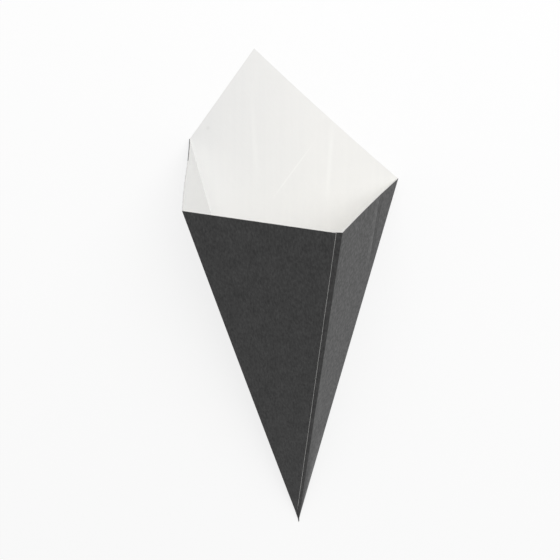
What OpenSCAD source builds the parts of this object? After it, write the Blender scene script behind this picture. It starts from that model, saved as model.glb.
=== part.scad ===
// Paper fry cone: one sheet of board, black outside and white inside, cut to shape, scored,
// folded into a four sided cone and glued down one seam. It lies on its back panel.
// Sizes are in millimetres. The tip points to -Y, the mouth opens to +Y and +Z is up.

/* [Board] */
// thickness of the board
board = 0.4; // [0.3:0.05:0.8]
// half width of a scored line, where the board is crushed into the fold
score_half_width = 0.1; // [0.06:0.01:0.14]
// depth of the groove that a score leaves along the outside of a fold
score_depth = 0.04; // [0.03:0.01:0.08]

/* [Panel angles at the tip] */
// back panel, the wide one with the peak
back_angle = 30; // [26:0.5:34]
// right panel, which carries the glue flap
right_angle = 22.5; // [18:0.5:27]
// front panel, which laps over the glue flap
front_angle = 22.5; // [19:0.5:28]
// left panel, the narrow one
left_angle = 15; // [12:0.5:20]

/* [Rim, as distances from the tip] */
// along the fold between the back and left panels
back_left_length = 217; // [205:1:230]
// to the peak of the back panel
peak_length = 255; // [240:1:280]
// angle of the peak from the back left fold
peak_angle = 10; // [6:0.5:18]
// along the fold between the back and right panels
back_right_length = 196; // [186:1:210]
// along the fold at the seam, between the right panel and the flap
seam_length = 180; // [165:1:186]
// along the fold between the front and left panels
front_left_length = 190; // [180:1:205]

/* [How far the cone stands open] */
// inside angle between the back and right panels
back_right_fold_angle = 68.5; // [50:0.5:80]

/* [Glued seam] */
// distance of the front panel's free edge from the seam fold
seam_setback = 2.5; // [1:0.1:5]
// width of the glue flap inside the front panel
flap_width = 14; // [9:0.5:20]

/* [Hidden] */
$fn = 48;

// A unit vector, a vector's direction square to a unit vector, and the angle between unit vectors
function unit(v) = v / norm(v);
function square_to(v, axis) = unit(v - (v * axis) * axis);
function angle_between(p, q) = acos(p * q);

// Points on a flat panel: a distance at an angle from its first fold, and a share of a line
function at(distance, angle) = distance * [cos(angle), sin(angle)];
function along(p, q, share) = p + share * (q - p);

// The point at height y on the rim line from p to q
function on_rim(p, q, y) = along(p, q, (y - p[1]) / (q[1] - p[1]));

// The folds end up open no wider than lets the front and left panels reach across
reach = front_angle + left_angle - 1;
sides_cosine = cos(back_angle) * cos(right_angle);
widest_fold_cosine = (cos(reach) - sides_cosine) / (sin(back_angle) * sin(right_angle));
right_fold = min(back_right_fold_angle, acos(widest_fold_cosine));

// Directions of the folds from the tip, on the inner faces
back_left = [-sin(back_angle / 2), cos(back_angle / 2), 0];
back_right = [sin(back_angle / 2), cos(back_angle / 2), 0];
back_across = square_to(back_left, back_right);
right_up = cos(right_fold) * back_across + sin(right_fold) * [0, 0, 1];
seam = cos(right_angle) * back_right + sin(right_angle) * right_up;
spread = back_left * seam;
front_left_on_left = (cos(left_angle) - spread * cos(front_angle)) / (1 - spread * spread);
front_left_on_seam = (cos(front_angle) - spread * cos(left_angle)) / (1 - spread * spread);
front_left_base = front_left_on_left * back_left + front_left_on_seam * seam;
front_left_out_squared = (1 - front_left_base * front_left_base) / (1 - spread * spread);
front_left_out = cross(seam, back_left) * sign(cross(back_left, seam) * back_right);
front_left = front_left_base + sqrt(front_left_out_squared) * front_left_out;

// Outward normals of the two panels at the seam and the inside angle between them
right_normal = cross(back_right, square_to(seam, back_right));
front_normal = cross(seam, square_to(front_left, seam));
seam_fold = 180 - angle_between(right_normal, front_normal);

// The flap lies one board deeper than the front panel, so its fold line moves in by this much
flap_shift_right = board / sin(seam_fold);
flap_shift_front = board / tan(seam_fold);

fold_radius = board - score_depth;

// The folds run together near the tip, and the board is pinched solid there
pinch_length = 12 * board;
pinch_radius = board / 2;

// The lying cone is centred over the origin
corners = [
    [0, 0, 0],
    back_left_length * back_left,
    back_right_length * back_right,
    seam_length * seam,
    front_left_length * front_left,
    peak_length * [sin(peak_angle - back_angle / 2), cos(peak_angle - back_angle / 2), 0]
];
corners_x = [for (corner = corners) corner[0]];
corners_y = [for (corner = corners) corner[1]];
middle = [(min(corners_x) + max(corners_x)) / 2, (min(corners_y) + max(corners_y)) / 2, 0];

// Puts flat work on the panel between two folds: x along the first, y to the second, z outward
module on_panel(first, second) {
    y = square_to(second, first);
    z = cross(first, y);
    multmatrix([
        [first[0], y[0], z[0], 0],
        [first[1], y[1], z[1], 0],
        [first[2], y[2], z[2], 0],
        [0, 0, 0, 1]
    ])
        children();
}

// Crushed board along a fold, as a bead round the line where the inner faces meet
module fold(length) {
    start = pinch_length - 2 * board;
    translate([start, 0, 0])
        rotate([0, 90, 0])
            cylinder(r = fold_radius, h = length - start - fold_radius / 2);
}

module back_panel() {
    left_end = at(back_left_length, 0);
    peak = at(peak_length, peak_angle);
    right_end = at(back_right_length, back_angle);
    left_share = score_half_width / peak[1];
    right_share = score_half_width / (peak_length * sin(back_angle - peak_angle));
    on_panel(back_left, back_right) {
        linear_extrude(board)
            polygon([
                at(score_half_width / sin(back_angle / 2), back_angle / 2),
                along(left_end, peak, left_share),
                peak,
                along(right_end, peak, right_share)
            ]);
        fold(back_left_length);
    }
}

module right_panel() {
    seam_gap = score_half_width + flap_shift_right;
    lower_end = at(back_right_length, 0);
    upper_end = at(seam_length, right_angle);
    tip_x = (score_half_width * cos(right_angle) + seam_gap) / sin(right_angle);
    on_panel(back_right, seam) {
        linear_extrude(board)
            polygon([
                [tip_x, score_half_width],
                on_rim(lower_end, upper_end, score_half_width),
                along(upper_end, lower_end, seam_gap / (back_right_length * sin(right_angle)))
            ]);
        fold(back_right_length);
    }
}

// The front panel laps over the flap; both are glued face to face and end at the same rim
module front_panel_and_flap() {
    seam_end = at(seam_length, 0);
    left_end = at(front_left_length, front_angle);
    left_gap = score_half_width / cos(front_angle);
    left_share = score_half_width / (seam_length * sin(front_angle));
    flap_start = flap_shift_front + score_half_width;
    on_panel(seam, front_left) {
        linear_extrude(board)
            polygon([
                [(seam_setback + left_gap) / tan(front_angle), seam_setback],
                on_rim(seam_end, left_end, seam_setback),
                along(left_end, seam_end, left_share)
            ]);
        translate([0, 0, -board])
            linear_extrude(board)
                polygon([
                    [(flap_start + left_gap) / tan(front_angle), flap_start],
                    on_rim(seam_end, left_end, flap_start),
                    on_rim(seam_end, left_end, flap_width),
                    [(flap_width + left_gap) / tan(front_angle), flap_width]
                ]);
        translate([0, flap_shift_front, -board])
            fold(seam_length);
    }
}

module left_panel() {
    front_end = at(front_left_length, 0);
    back_end = at(back_left_length, left_angle);
    on_panel(front_left, back_left) {
        linear_extrude(board)
            polygon([
                at(score_half_width / sin(left_angle / 2), left_angle / 2),
                on_rim(front_end, back_end, score_half_width),
                along(back_end, front_end, score_half_width / (front_left_length * sin(left_angle)))
            ]);
        fold(front_left_length);
    }
}

module pinch_point(direction) {
    translate(pinch_length * direction)
        sphere(r = pinch_radius, $fn = 8);
}

// The pinched tip, as one small solid from the tip to where the folds part
module pinched_tip() {
    hull() {
        sphere(r = pinch_radius, $fn = 8);
        pinch_point(back_left);
        pinch_point(back_right);
        pinch_point(front_left);
        translate(-flap_shift_right * square_to(seam, back_right))
            pinch_point(seam);
    }
}

module paper_cone() {
    color("#3d3d3d")
        translate([0, 0, board] - middle)
            union() {
                back_panel();
                right_panel();
                front_panel_and_flap();
                left_panel();
                pinched_tip();
            }
}

paper_cone();
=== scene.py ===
import math
import bpy
import bmesh
from mathutils import Matrix, Vector


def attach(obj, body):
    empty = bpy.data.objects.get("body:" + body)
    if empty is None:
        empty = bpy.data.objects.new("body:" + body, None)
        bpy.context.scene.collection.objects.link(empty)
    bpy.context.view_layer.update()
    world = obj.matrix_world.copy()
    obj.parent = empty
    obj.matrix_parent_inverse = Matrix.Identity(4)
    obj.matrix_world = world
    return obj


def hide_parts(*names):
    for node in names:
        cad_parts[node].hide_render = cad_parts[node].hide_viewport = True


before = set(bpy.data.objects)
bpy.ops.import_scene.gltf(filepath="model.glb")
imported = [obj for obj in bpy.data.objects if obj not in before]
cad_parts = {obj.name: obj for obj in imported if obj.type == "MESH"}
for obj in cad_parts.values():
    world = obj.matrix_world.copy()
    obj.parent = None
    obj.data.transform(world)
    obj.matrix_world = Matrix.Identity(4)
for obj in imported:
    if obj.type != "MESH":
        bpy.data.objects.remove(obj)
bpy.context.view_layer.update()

mm = 0.001  # sizes below are in millimetres, unless a note says otherwise


# small helpers

def hexToLinear(code):
    # by the sRGB curve
    channels = [int(code[i:i + 2], 16) / 255 for i in (1, 3, 5)]
    linear = [c / 12.92 if c <= 0.04045 else ((c + 0.055) / 1.055) ** 2.4 for c in channels]
    return (*linear, 1.0)


def perMetre(size):
    # a pattern's scale from its real size
    return 1 / (size * mm)


def addNode(tree, kind, settings=None, links=None):
    # settings go to a socket, by name or number, or else to the node itself
    node = tree.nodes.new(kind)
    for name, value in (settings or {}).items():
        if isinstance(name, int) or name in node.inputs:
            node.inputs[name].default_value = value
        else:
            setattr(node, name, value)
    for name, source in (links or {}).items():
        tree.links.new(source, node.inputs[name])
    return node


def startMaterial(name):
    material = bpy.data.materials.new(name)
    material.use_nodes = True
    tree = material.node_tree
    tree.nodes.clear()
    place = addNode(tree, "ShaderNodeTexCoord").outputs["Object"]
    return material, tree, place


def finishMaterial(tree, shader):
    addNode(tree, "ShaderNodeOutputMaterial", links={"Surface": shader.outputs[0]})


def squareTo(vector, axis):
    return (vector - vector.dot(axis) * axis).normalized()


def crown(t):
    # 0 at both ends and 1 halfway
    return 4 * t * (1 - t)


# the folded cone: angles of the panels at the tip, and distances from the tip to the rim

cone = {
    "board": 0.4,
    "backAngle": 30,
    "rightAngle": 22.5,
    "frontAngle": 22.5,
    "leftAngle": 15,
    "backLeftLength": 217,
    "peakLength": 255,
    "peakAngle": 10,
    "backRightLength": 196,
    "seamLength": 180,
    "frontLeftLength": 190,
    "foldOpen": 68.5,  # inside angle between the back and right panels
    "flapWidth": 14,
}


def foldDirections():
    half = math.radians(cone["backAngle"] / 2)
    right = math.radians(cone["rightAngle"])
    front = math.radians(cone["frontAngle"])
    left = math.radians(cone["leftAngle"])
    opening = math.radians(cone["foldOpen"])
    peakTurn = math.radians(cone["peakAngle"]) - half
    backLeft = Vector((-math.sin(half), math.cos(half), 0))
    backRight = Vector((math.sin(half), math.cos(half), 0))
    rightUp = math.cos(opening) * squareTo(backLeft, backRight) + math.sin(opening) * Vector((0, 0, 1))
    seam = math.cos(right) * backRight + math.sin(right) * rightUp
    # the front left fold lies at the left and front panels' angles from its two neighbours
    spread = backLeft.dot(seam)
    alongLeft = (math.cos(left) - spread * math.cos(front)) / (1 - spread ** 2)
    alongSeam = (math.cos(front) - spread * math.cos(left)) / (1 - spread ** 2)
    base = alongLeft * backLeft + alongSeam * seam
    frontLeft = base + math.sqrt(1 - base.length_squared) * seam.cross(backLeft).normalized()
    return {
        "backLeft": backLeft,
        "backRight": backRight,
        "seam": seam,
        "frontLeft": frontLeft,
        "peak": Vector((math.sin(peakTurn), math.cos(peakTurn), 0)),
    }


folds = foldDirections()
lengths = {name: cone[name + "Length"] for name in folds}
normals = {
    "back": folds["backLeft"].cross(folds["backRight"]).normalized(),
    "right": folds["backRight"].cross(folds["seam"]).normalized(),
    "front": folds["seam"].cross(folds["frontLeft"]).normalized(),
    "left": folds["frontLeft"].cross(folds["backLeft"]).normalized(),
}
frontAcross = squareTo(folds["frontLeft"], folds["seam"])
rightAcross = squareTo(folds["seam"], folds["backRight"])

# the tip's place in the part's frame: the cone is centred over the origin and lies on its back panel
rimPoints = [lengths[name] * folds[name] for name in folds] + [Vector((0, 0, 0))]
middle = [(min(p[i] for p in rimPoints) + max(p[i] for p in rimPoints)) / 2 for i in (0, 1)]
tipPlace = Vector((-middle[0], -middle[1], cone["board"]))
print("folds worked out, tip at", [round(v, 2) for v in tipPlace], "mm")


# the sheet, as rows from the tip to the rim, each running round the cone from the front
# panel's free edge over the left, back and right panels to the end of the glue flap

sheet = {
    "rows": 90,
    "rowPower": 1.15,  # rows lie closer together towards the tip
    "panelColumns": {"front": 16, "left": 12, "backLow": 10, "backHigh": 14, "right": 16, "flap": 6},
    "foldSteps": 5,
    "outerFold": 0.55,  # how far the rounding of a fold reaches on to each panel at the pinched tip
    "innerFold": 0.25,  # the same on the inner faces, up to the rim
    "foldLimit": 0.3,  # and at most this share of a narrow panel
    "pinchedShare": 0.035,  # up to here the tip is pinched, with ink crushed over the cut edge
    "settledShare": 0.07,  # in the next stretch the outer folds settle into arcs as thick as the board
    "outerTip": -0.4,  # the outer faces start this far beyond the point of the inner ones
    "innerTip": 5.0,  # below this the layers are pinched together
    "rightBow": -0.5,  # the right panel has sunk in a little at the rim
    "leftWave": 0.3,  # and the left one waves, out by the front and in by the back
    "bowPower": 2,  # both grow towards the rim by this power, and the next three each by its own
    "leftCornerIn": 0.35,  # the rim's end of the back left fold is pressed in
    "leftCornerPower": 6,
    "rightCornerOut": 0.35,  # that of the back right fold is splayed out
    "rightCornerPower": 1.5,
    "peakEdgeBow": 0.6,  # the long edge from the peak to the right is cut a little hollow
    "peakEdgePower": 4,
    "frontLeftBow": 0.3,  # the front left fold bulges halfway along
    "rimSetback": 2.2,  # the front panel's free edge stops this far from the seam fold
    "tipSetback": 1.2,  # and runs closer to it towards the tip
    "cutSlant": 0.1,  # the knife left the lower face of the free edge this much further out
    "tipRound": 0.55,  # near the tip the right panel rounds over to the seam, as the layers are stiff there
    "roundShare": 0.35,  # up to this share of the length
    "tipReach": 2.4,  # the crushed point is drawn out this far
    "tipNeck": (0.75, 0.62),  # and is this share as wide at this share of its length
    "glue": 0.03,  # between the front panel and the flap
    "flapLimit": 0.75,  # near the tip the flap is cut to this share of the front panel
    "seamStep": 0.35,  # the rim stands this much further out at the seam fold than at the front panel
    "flapSlope": 1.2,  # and the flap's rim drops this far behind the front panel
    "paintedShadowColumns": 4,  # painted shadow: by the back left fold the rim's cut edge gets the black outside material
    "weld": 0.0001,  # points closer than this are one
    "sharpAngle": 40,  # degrees
}


def cornerShift(first, second, firstOut, secondOut):
    # from a fold line on the inner faces to where the two panels' shifted faces meet
    turn = first.dot(second)
    scale = 1 - turn ** 2
    return ((firstOut - turn * secondOut) * first + (secondOut - turn * firstOut) * second) / scale


def rowStops(share, outside):
    # each panel's two ends in one row, and the sharp corner that a fold between them would have
    out = cone["board"] if outside else 0
    start = sheet["outerTip"] if outside else sheet["innerTip"]
    reach = {name: folds[name] * (start + share * (lengths[name] - start)) for name in folds}
    # the flap lies one board deeper than the front panel, so the seam fold moves in
    deeper = cone["board"] + sheet["glue"]
    reach["flap"] = reach["seam"] + cornerShift(normals["right"], normals["front"], 0, -deeper)
    reach["flap"] += folds["seam"] * sheet["seamStep"] * share
    # the other folds are bent a little
    leftIn = squareTo(folds["backRight"], folds["backLeft"]) * sheet["leftCornerIn"]
    rightOut = squareTo(folds["backLeft"], folds["backRight"]) * -sheet["rightCornerOut"]
    reach["backLeft"] += leftIn * share ** sheet["leftCornerPower"]
    reach["backRight"] += rightOut * share ** sheet["rightCornerPower"]
    reach["frontLeft"] += frontAcross * sheet["frontLeftBow"] * crown(share)
    settled = max(0, min(1, (share - sheet["pinchedShare"]) / sheet["settledShare"])) if outside else 0

    def foldAt(name, before, after):
        core = reach[name]
        corner = core + cornerShift(normals[before], normals[after], out, out)
        return {
            "corner": corner,
            "before": core + normals[before] * out,
            "after": core + normals[after] * out,
            "weight": math.sqrt((1 + normals[before].dot(normals[after])) / 2),
        }

    frontLeft = foldAt("frontLeft", "front", "left")
    backLeft = foldAt("backLeft", "left", "back")
    backRight = foldAt("backRight", "back", "right")
    seam = foldAt("flap", "right", "front")
    peak = reach["peak"] + normals["back"] * out
    # the front panel stops short of the seam fold, and its free edge slants
    frontEnd = frontLeft["corner"].lerp(frontLeft["before"], settled)
    overSeam = reach["seam"] + normals["front"] * out
    width = frontEnd.dot(frontAcross)
    slant = sheet["cutSlant"] / 2
    setback = sheet["tipSetback"] + share * (sheet["rimSetback"] - sheet["tipSetback"])
    setback += slant if outside else -slant
    kept = max(0, (width - setback) / width) if width > 0 else 0
    freeEdge = frontEnd.lerp(overSeam, kept)
    # the flap runs under the front panel, as far as the front left fold lets it near the tip
    underLeft = reach["frontLeft"] + normals["front"] * (out - deeper)
    flapWidth = underLeft.dot(frontAcross) - seam["corner"].dot(frontAcross)
    flapShare = min(cone["flapWidth"] / flapWidth, sheet["flapLimit"]) if flapWidth > 0 else 0
    flapEnd = seam["corner"].lerp(underLeft, flapShare) - folds["seam"] * sheet["flapSlope"] * share
    return [freeEdge, frontLeft, backLeft, peak, backRight, seam, flapEnd], settled


def bowAt(panel, across, share, width):
    # how far a point of a panel stands off the flat
    if panel == "right":
        turn = sheet["tipRound"] * max(0, 1 - share / sheet["roundShare"])
        rise = turn * width * across ** 2 * (1 - across)
        sink = sheet["rightBow"] * crown(across) * share ** sheet["bowPower"]
        return normals["right"] * (sink + rise)
    if panel == "left":
        wave = math.sin(2 * math.pi * across)
        return normals["left"] * sheet["leftWave"] * wave * share ** sheet["bowPower"]
    if panel == "backHigh":
        edge = folds["backRight"] * lengths["backRight"] - folds["peak"] * lengths["peak"]
        inward = -squareTo(folds["peak"], edge.normalized())
        return inward * sheet["peakEdgeBow"] * crown(across) * share ** sheet["peakEdgePower"]
    return Vector((0, 0, 0))


def rowPoints(share, outside):
    stops, settled = rowStops(share, outside)
    foldReach = sheet["outerFold"] if outside else sheet["innerFold"]
    points = []
    for i, (panel, columns) in enumerate(sheet["panelColumns"].items()):
        # cut edges and the peak are plain points, folds are rounded
        start, end = stops[i], stops[i + 1]
        startCorner = start["corner"] if isinstance(start, dict) else start
        endCorner = end["corner"] if isinstance(end, dict) else end
        span = endCorner - startCorner
        trim = span.normalized() * min(foldReach, sheet["foldLimit"] * span.length)
        first, last = startCorner, endCorner
        if isinstance(start, dict):
            first = (start["corner"] + trim).lerp(start["after"], settled)
            before = points[-1]
            for step in range(1, sheet["foldSteps"]):
                t = step / sheet["foldSteps"]
                pull = [(1 - t) ** 2, 2 * t * (1 - t) * start["weight"], t ** 2]
                bend = pull[0] * before + pull[1] * start["corner"] + pull[2] * first
                points.append(bend / sum(pull))
        if isinstance(end, dict):
            last = (end["corner"] - trim).lerp(end["before"], settled)
        # the peak is shared by both halves of the back panel
        skip = 0 if isinstance(start, dict) or i == 0 else 1
        for column in range(skip, columns + 1):
            across = column / columns
            points.append(first.lerp(last, across) + bowAt(panel, across, share, (last - first).length))
    return points


def makeSheet(name, materials):
    # the materials are those of the outside, the inside and the cut edges
    outsideSlot, insideSlot, edgeSlot = range(len(materials))
    bm = bmesh.new()
    shares = [(row / sheet["rows"]) ** sheet["rowPower"] for row in range(sheet["rows"] + 1)]
    layers = []
    for outside in (True, False):
        rows = [rowPoints(share, outside) for share in shares]
        # two more rows close the tip, drawn out on the outside
        centre = sum(rows[0], Vector((0, 0, 0))) / len(rows[0])
        point = folds["peak"] * -(sheet["tipReach"] if outside else 0)
        neckWidth, neckPlace = sheet["tipNeck"]
        neck = [centre + (corner - centre) * neckWidth + point * neckPlace for corner in rows[0]]
        rows = [[centre + point] * len(neck), neck] + rows
        layers.append([[bm.verts.new((corner + tipPlace) * mm) for corner in row] for row in rows])
    outer, inner = layers
    rowShares = [0, 0] + shares
    last = len(outer[0]) - 1

    def addFace(corners, slot):
        face = bm.faces.new(corners)
        face.material_index = slot
        face.smooth = True

    for row in range(len(outer) - 1):
        for column in range(last):
            for layer, slot in ((outer, outsideSlot), (inner, insideSlot)):
                a, b = layer[row][column], layer[row][column + 1]
                c, d = layer[row + 1][column + 1], layer[row + 1][column]
                addFace((a, b, c, d) if slot == insideSlot else (d, c, b, a), slot)
        edge = edgeSlot if rowShares[row] > sheet["pinchedShare"] else outsideSlot
        for column in (0, last):
            addFace((outer[row][column], outer[row + 1][column],
                     inner[row + 1][column], inner[row][column]), edge)
    leftEnd = sheet["panelColumns"]["front"] + sheet["foldSteps"] + sheet["panelColumns"]["left"]
    paintedShadowEdge = range(leftEnd - sheet["paintedShadowColumns"], leftEnd)
    # painted shadow: the rim's cut edge by the back left fold is drawn in the black outside material
    for column in range(last):
        edge = outsideSlot if column in paintedShadowEdge else edgeSlot
        addFace((outer[-1][column], outer[-1][column + 1],
                 inner[-1][column + 1], inner[-1][column]), edge)

    weld = sheet["weld"] * mm
    bmesh.ops.remove_doubles(bm, verts=bm.verts, dist=weld)
    bmesh.ops.dissolve_degenerate(bm, edges=bm.edges, dist=weld)
    bmesh.ops.recalc_face_normals(bm, faces=bm.faces)
    if bm.calc_volume(signed=True) < 0:  # inside out
        bmesh.ops.reverse_faces(bm, faces=bm.faces)
    mesh = bpy.data.meshes.new(name)
    bm.to_mesh(mesh)
    bm.free()
    mesh.set_sharp_from_angle(angle=math.radians(sheet["sharpAngle"]))
    for material in materials:
        mesh.materials.append(material)
    piece = bpy.data.objects.new(name, mesh)
    bpy.context.collection.objects.link(piece)
    flat = piece.modifiers.new("flatPanels", "WEIGHTED_NORMAL")
    flat.keep_sharp = True
    return piece


# what the materials share

patterns = {
    "noiseRange": (0.35, 0.65),  # most of a noise pattern lies between these
    "fullShare": 0.4,  # share of a mark's half length, or of a speck's radius, up to which it is full
    "bumpDepth": 0.1,  # of the fibres, at full strength
}


def onBackPanel(x, y):
    return Vector((x, y, cone["board"]))


def onRightPanel(distance, degrees):
    # on the outside, so far from the tip and so many degrees from the lower fold
    turn = math.radians(degrees)
    way = math.cos(turn) * folds["backRight"] + math.sin(turn) * rightAcross
    return tipPlace + normals["right"] * cone["board"] + way * distance


def lineMask(tree, place, ends, halfWidth):
    # 1 along a line on the sheet, down to 0 at its sides and towards its ends
    first, second = [end * mm for end in ends]
    run = (second - first).normalized()
    half = (second - first).length / 2
    fromMiddle = addNode(tree, "ShaderNodeVectorMath", {"operation": "SUBTRACT", 1: (first + second) / 2},
                         {0: place})
    along = addNode(tree, "ShaderNodeVectorMath", {"operation": "DOT_PRODUCT", 1: run},
                    {0: fromMiddle.outputs["Vector"]})
    away = addNode(tree, "ShaderNodeMath", {"operation": "ABSOLUTE"}, {0: along.outputs["Value"]})
    within = addNode(tree, "ShaderNodeMapRange",
                     {"From Min": half, "From Max": half * patterns["fullShare"]},
                     {"Value": away.outputs[0]})
    foot = addNode(tree, "ShaderNodeVectorMath", {"operation": "SCALE", 0: run},
                   {"Scale": along.outputs["Value"]})
    off = addNode(tree, "ShaderNodeVectorMath", {"operation": "DISTANCE"},
                  {0: fromMiddle.outputs["Vector"], 1: foot.outputs["Vector"]})
    line = addNode(tree, "ShaderNodeMapRange", {"From Min": halfWidth * mm, "From Max": 0.0},
                   {"Value": off.outputs["Value"]})
    mask = addNode(tree, "ShaderNodeMath", {"operation": "MULTIPLY"},
                   {0: line.outputs[0], 1: within.outputs[0]})
    return mask.outputs[0]


# paperboard dyed black on its outer face and pressed between rollers: matt, with short fibres that
# lie from mouth to tip, patches pressed smoother than the rest, a soft mottle and a few pale specks;
# it lightens at a glancing angle, and handling has left a faint dent down the right panel

blackBoard = {
    "dark": "#1e1e1e",
    "light": "#424242",
    "toneRange": (0.3, 0.7),  # of fibre and mottle, from dark to light
    "fibreWidth": 0.8,  # real fibres are finer, drawn as wide as they need to show
    "fibreLength": 2.6,
    "mottleSize": 6,
    "mottleShare": 0.24,  # how much of the tone is mottle, the rest is fibre
    "speck": "#595958",
    "speckSpacing": 22,
    "speckRadius": 0.6,
    "pressedWidth": 1.3,  # patches of fibre that the rollers pressed smooth, drawn coarse as well
    "pressedLength": 1.8,
    "smooth": 0.42,
    "rough": 0.56,
    "ior": 1.52,
    "mirror": 0.26,  # open fibres mirror about half as much as a closed film would
    "bump": 0.04,
    "dent": ((195, 8.0), (147, 2.6)),  # both ends: from the tip, and degrees from the lower fold
    "dentHalfWidth": 5,
    "dentDepth": 0.5,
}


def makeBlackBoard():
    look = blackBoard
    material, tree, place = startMaterial("blackDyedPaperboard")
    along, across = perMetre(look["fibreLength"]), perMetre(look["fibreWidth"])
    stretched = addNode(tree, "ShaderNodeMapping", {"Scale": (across, along, across)}, {"Vector": place})
    fibre = addNode(tree, "ShaderNodeTexNoise", {"Scale": 1.0, "Detail": 3.0, "Roughness": 0.6},
                    {"Vector": stretched.outputs[0]})
    mottle = addNode(tree, "ShaderNodeTexNoise", {"Scale": perMetre(look["mottleSize"]), "Detail": 4.0},
                     {"Vector": place})
    tone = addNode(tree, "ShaderNodeMix", {0: look["mottleShare"]},
                   {2: fibre.outputs["Fac"], 3: mottle.outputs["Fac"]})
    darkest, lightest = look["toneRange"]
    spread = addNode(tree, "ShaderNodeMapRange", {"From Min": darkest, "From Max": lightest},
                     {"Value": tone.outputs[0]})
    colour = addNode(tree, "ShaderNodeMix",
                     {"data_type": "RGBA", 6: hexToLinear(look["dark"]), 7: hexToLinear(look["light"])},
                     {0: spread.outputs[0]})

    cells = addNode(tree, "ShaderNodeTexVoronoi", {"Scale": perMetre(look["speckSpacing"])},
                    {"Vector": place})
    speckEdge = look["speckRadius"] / look["speckSpacing"]
    near = addNode(tree, "ShaderNodeMapRange",
                   {"From Min": speckEdge, "From Max": speckEdge * patterns["fullShare"]},
                   {"Value": cells.outputs["Distance"]})
    speckled = addNode(tree, "ShaderNodeMix", {"data_type": "RGBA", 7: hexToLinear(look["speck"])},
                       {0: near.outputs[0], 6: colour.outputs[2]})

    along, across = perMetre(look["pressedLength"]), perMetre(look["pressedWidth"])
    drawn = addNode(tree, "ShaderNodeMapping", {"Scale": (across, along, along)}, {"Vector": place})
    patches = addNode(tree, "ShaderNodeTexNoise", {"Scale": 1.0, "Detail": 2.0},
                      {"Vector": drawn.outputs[0]})
    low, high = patterns["noiseRange"]
    gloss = addNode(tree, "ShaderNodeMapRange",
                    {"From Min": low, "From Max": high, "To Min": look["smooth"], "To Max": look["rough"]},
                    {"Value": patches.outputs["Fac"]})

    dentEnds = [onRightPanel(distance, degrees) for distance, degrees in look["dent"]]
    dent = lineMask(tree, place, dentEnds, look["dentHalfWidth"])
    bent = addNode(tree, "ShaderNodeBump",
                   {"invert": True, "Strength": 1.0, "Distance": look["dentDepth"] * mm}, {"Height": dent})
    bump = addNode(tree, "ShaderNodeBump",
                   {"Strength": look["bump"], "Distance": patterns["bumpDepth"] * mm},
                   {"Height": fibre.outputs["Fac"], "Normal": bent.outputs[0]})
    shader = addNode(tree, "ShaderNodeBsdfPrincipled",
                     {"IOR": look["ior"], "Specular IOR Level": look["mirror"]},
                     {"Base Color": speckled.outputs[2], "Roughness": gloss.outputs[0],
                      "Normal": bump.outputs[0]})
    finishMaterial(tree, shader)
    return material


# white inner face, clay coated by a roller: smooth and half matt, with faint streaks from mouth to tip
# and clumps of fibre that barely show through; its colour is painted light, whiter and warmer towards the
# right fold; the score along the back left fold and a thin pressed crease on the back carry painted
# highlights, and handling has left two pale rubs and a small grey smudge on the back

whiteLiner = {
    # the two ends of the colour: across the back the cool end is painted shade and the warm end painted
    # light, and they are also the ends of the streak pattern
    "coolPaintedShade": "#e4e4e3",
    "warmPaintedLight": "#f2f1ee",
    "paintedLightSide": (-58, 20),  # painted light: the colour runs whiter and warmer towards the right fold, standing in for light bounced there
    "streakWidth": 2.2,
    "streakLength": 120,
    "mottleSize": 14,
    "mottleShare": 0.4,  # how much of the pattern is mottle, the rest is streaks
    "toneRange": (0.42, 0.72),  # of the pattern, from cool to warm
    "patternShare": 0.15,  # how much of the tone is pattern, the rest is the painted light across the back
    "rubAndHighlight": "#fafaf7",
    "marks": (  # two ends, half width and strength of the crease's painted highlight and of the two rubs
        # a painted highlight along the crease's ridge
        ((11.5, 81.5), (-11.5, 51.0), 0.5, 0.5),
        ((-21.6, 112.0), (-18.4, 56.0), 1.8, 0.17),
        ((20.3, 92.0), (17.2, 48.0), 1.6, 0.4),
    ),
    "scored": (100, 260),  # the score's painted highlight runs between these distances from the tip, past the rim
    "scoredHalfWidth": 1.1,
    "scoredStrength": 0.17,
    "smudge": "#dddddb",
    "smudgePlace": (-43.7, 88.0),
    "smudgeRadius": 1.4,
    "clumpSize": 2.5,  # clumps of fibre that show through the coating
    "smooth": 0.44,
    "rough": 0.56,
    "ior": 1.5,
    "bump": 0.5,
}


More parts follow.
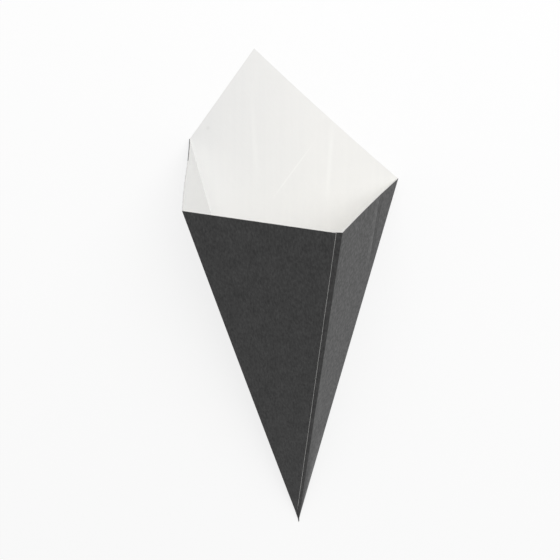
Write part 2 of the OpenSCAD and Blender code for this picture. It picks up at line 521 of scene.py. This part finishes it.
def makeWhiteLiner():
    look = whiteLiner
    material, tree, place = startMaterial("clayCoatedWhiteBoard")
    along, across = perMetre(look["streakLength"]), perMetre(look["streakWidth"])
    stretched = addNode(tree, "ShaderNodeMapping", {"Scale": (across, along, along)}, {"Vector": place})
    streaks = addNode(tree, "ShaderNodeTexNoise", {"Scale": 1.0, "Detail": 2.0},
                      {"Vector": stretched.outputs[0]})
    mottle = addNode(tree, "ShaderNodeTexNoise", {"Scale": perMetre(look["mottleSize"]), "Detail": 5.0},
                     {"Vector": place})
    tone = addNode(tree, "ShaderNodeMix", {0: look["mottleShare"]},
                   {2: streaks.outputs["Fac"], 3: mottle.outputs["Fac"]})
    coolest, warmest = look["toneRange"]
    spread = addNode(tree, "ShaderNodeMapRange", {"From Min": coolest, "From Max": warmest},
                     {"Value": tone.outputs[0]})
    # painted light: the colour runs from painted shade on the left to painted light by the right fold, with
    # a little of the pattern mixed in
    paintedShadeSide, paintedLightSide = [x * mm for x in look["paintedLightSide"]]
    axes = addNode(tree, "ShaderNodeSeparateXYZ", links={0: place})
    side = addNode(tree, "ShaderNodeMapRange", {"From Min": paintedShadeSide, "From Max": paintedLightSide},
                   {"Value": axes.outputs["X"]})
    paintedLightAndPattern = addNode(tree, "ShaderNodeMix", {0: look["patternShare"]},
                     {2: side.outputs[0], 3: spread.outputs[0]})
    colour = addNode(tree, "ShaderNodeMix",
                     {"data_type": "RGBA", 6: hexToLinear(look["coolPaintedShade"]), 7: hexToLinear(look["warmPaintedLight"])},
                     {0: paintedLightAndPattern.outputs[0]})

    marks = [([onBackPanel(*end) for end in ends], halfWidth, strength)
             for *ends, halfWidth, strength in look["marks"]]
    # a painted highlight along the score of the back left fold
    scoredEnds = [tipPlace + folds["backLeft"] * distance for distance in look["scored"]]
    marks.append((scoredEnds, look["scoredHalfWidth"], look["scoredStrength"]))
    # painted highlights along the crease and the score, and the two pale rubs, all in the paler colour
    for ends, halfWidth, strength in marks:
        mask = lineMask(tree, place, ends, halfWidth)
        share = addNode(tree, "ShaderNodeMath", {"operation": "MULTIPLY", 1: strength}, {0: mask})
        colour = addNode(tree, "ShaderNodeMix", {"data_type": "RGBA", 7: hexToLinear(look["rubAndHighlight"])},
                         {0: share.outputs[0], 6: colour.outputs[2]})
    smudgePlace = onBackPanel(*look["smudgePlace"]) * mm
    toSmudge = addNode(tree, "ShaderNodeVectorMath", {"operation": "DISTANCE", 1: smudgePlace}, {0: place})
    soiled = addNode(tree, "ShaderNodeMapRange", {"From Min": look["smudgeRadius"] * mm, "From Max": 0.0},
                     {"Value": toSmudge.outputs["Value"]})
    marked = addNode(tree, "ShaderNodeMix", {"data_type": "RGBA", 7: hexToLinear(look["smudge"])},
                     {0: soiled.outputs[0], 6: colour.outputs[2]})

    clumps = addNode(tree, "ShaderNodeTexNoise", {"Scale": perMetre(look["clumpSize"]), "Detail": 3.0},
                     {"Vector": place})
    low, high = patterns["noiseRange"]
    gloss = addNode(tree, "ShaderNodeMapRange",
                    {"From Min": low, "From Max": high, "To Min": look["smooth"], "To Max": look["rough"]},
                    {"Value": clumps.outputs["Fac"]})
    bump = addNode(tree, "ShaderNodeBump",
                   {"Strength": look["bump"], "Distance": patterns["bumpDepth"] * mm},
                   {"Height": clumps.outputs["Fac"]})
    shader = addNode(tree, "ShaderNodeBsdfPrincipled", {"IOR": look["ior"]},
                     {"Base Color": marked.outputs[2], "Roughness": gloss.outputs[0],
                      "Normal": bump.outputs[0]})
    finishMaterial(tree, shader)
    return material


# the knife's cut through the board: bare pulp, off white and fuzzy

cutPulp = {
    "shade": "#a9a8a6",
    "light": "#dcdbd9",
    "fuzzSize": 2.2,  # real fuzz is finer, drawn as coarse as it needs to show
    "roughness": 0.9,
    "ior": 1.45,
}


def makeCutPulp():
    look = cutPulp
    material, tree, place = startMaterial("knifeCutPulp")
    fuzz = addNode(tree, "ShaderNodeTexNoise", {"Scale": perMetre(look["fuzzSize"]), "Detail": 2.0},
                   {"Vector": place})
    colour = addNode(tree, "ShaderNodeMix",
                     {"data_type": "RGBA", 6: hexToLinear(look["shade"]), 7: hexToLinear(look["light"])},
                     {0: fuzz.outputs["Fac"]})
    shader = addNode(tree, "ShaderNodeBsdfPrincipled", {"Roughness": look["roughness"], "IOR": look["ior"]},
                     {"Base Color": colour.outputs[2]})
    finishMaterial(tree, shader)
    return material


materials = [makeBlackBoard(), makeWhiteLiner(), makeCutPulp()]
print("materials made:", ", ".join(material.name for material in materials))

foldedSheet = makeSheet("foldedSheet", materials)
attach(foldedSheet, "root")
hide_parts("paper_cone")
print("sheet folded,", len(foldedSheet.data.polygons), "faces")


# studio: a pale floor, an even white room and one broad soft lamp that shines into the mouth
# from the right

studio = {
    "white": "#ffffff",
    "floorColour": "#fbfbfb",
    "floorGlow": 0.75,  # share of plain white that shows on the floor, the rest keeps the shadow
    "floorFade": (400, 1600),  # between these distances the floor runs out into the white room
    "floorSize": 4.0,  # metres
    "floorDrop": 0.05,  # under the sheet
    "roomGlow": 0.43,  # strength of the room's even light
    "lampSize": 1.6,  # metres
    "lampPlace": (219, 672, 707),
    "lampPower": 12.4,  # watts
}


def whiteRays(tree):
    # 1 for the rays that show the background: straight to the camera, mirrored or through glass
    path = addNode(tree, "ShaderNodeLightPath")
    ray = path.outputs["Is Camera Ray"]
    for kind in ("Is Glossy Ray", "Is Transmission Ray"):
        either = addNode(tree, "ShaderNodeMath", {"operation": "MAXIMUM"}, {0: ray, 1: path.outputs[kind]})
        ray = either.outputs[0]
    return ray


def makeFloor():
    bm = bmesh.new()
    bmesh.ops.create_grid(bm, x_segments=1, y_segments=1, size=studio["floorSize"] / 2)
    mesh = bpy.data.meshes.new("floor")
    bm.to_mesh(mesh)
    bm.free()
    floor = bpy.data.objects.new("floor", mesh)
    floor.location.z = -studio["floorDrop"] * mm
    bpy.context.collection.objects.link(floor)
    material, tree, place = startMaterial("paleFloor")
    matt = addNode(tree, "ShaderNodeBsdfDiffuse", {"Color": hexToLinear(studio["floorColour"])})
    glow = addNode(tree, "ShaderNodeEmission", {"Color": hexToLinear(studio["white"]), "Strength": 1.0})
    away = addNode(tree, "ShaderNodeVectorMath", {"operation": "LENGTH"}, {0: place})
    near, far = [distance * mm for distance in studio["floorFade"]]
    shown = addNode(tree, "ShaderNodeMapRange",
                    {"From Min": near, "From Max": far, "To Min": studio["floorGlow"]},
                    {"Value": away.outputs["Value"]})
    seen = addNode(tree, "ShaderNodeMath", {"operation": "MULTIPLY"},
                   {0: whiteRays(tree), 1: shown.outputs[0]})
    shader = addNode(tree, "ShaderNodeMixShader",
                     links={0: seen.outputs[0], 1: matt.outputs[0], 2: glow.outputs[0]})
    finishMaterial(tree, shader)
    mesh.materials.append(material)


def makeRoom():
    world = bpy.data.worlds.new("whiteRoom")
    world.use_nodes = True
    tree = world.node_tree
    room = tree.nodes["Background"]
    room.inputs["Color"].default_value = hexToLinear(studio["white"])
    shown = addNode(tree, "ShaderNodeMath", {"operation": "MAXIMUM", 1: studio["roomGlow"]},
                    {0: whiteRays(tree)})
    tree.links.new(shown.outputs[0], room.inputs["Strength"])
    bpy.context.scene.world = world


def makeLamp():
    light = bpy.data.lights.new("keyLamp", "AREA")
    light.size = studio["lampSize"]
    light.energy = studio["lampPower"]
    lamp = bpy.data.objects.new("keyLamp", light)
    lamp.location = Vector(studio["lampPlace"]) * mm
    lamp.rotation_euler = (-lamp.location).to_track_quat("-Z", "Y").to_euler()
    lamp.visible_camera = False
    bpy.context.collection.objects.link(lamp)


makeFloor()
makeRoom()
makeLamp()
print("studio set")


# camera: looks down on the lying cone, as the picture looks into it

view = {
    "place": (4.02, 69.36, 355.35),
    "aim": (-7.08, 8.88, 0),
    "roll": -0.27,  # degrees
    "lens": 43.61,
    "sensor": 36,
    "nearest": 10,  # what is closer isn't drawn
}


def makeCamera():
    data = bpy.data.cameras.new("camera")
    data.lens = view["lens"]
    data.sensor_width = view["sensor"]
    data.sensor_fit = "HORIZONTAL"
    data.clip_start = view["nearest"] * mm
    camera = bpy.data.objects.new("camera", data)
    place = Vector(view["place"]) * mm
    forward = (Vector(view["aim"]) * mm - place).normalized()
    roll = Matrix.Rotation(math.radians(view["roll"]), 3, -forward)
    up = roll @ squareTo(Vector((0, 1, 0)), forward)
    right = forward.cross(up)
    axes = Matrix((right, up, -forward)).transposed()
    camera.matrix_world = Matrix.Translation(place) @ axes.to_4x4()
    bpy.context.collection.objects.link(camera)
    bpy.context.scene.camera = camera


makeCamera()
bpy.context.scene.view_settings.view_transform = "Standard"
print("camera set")
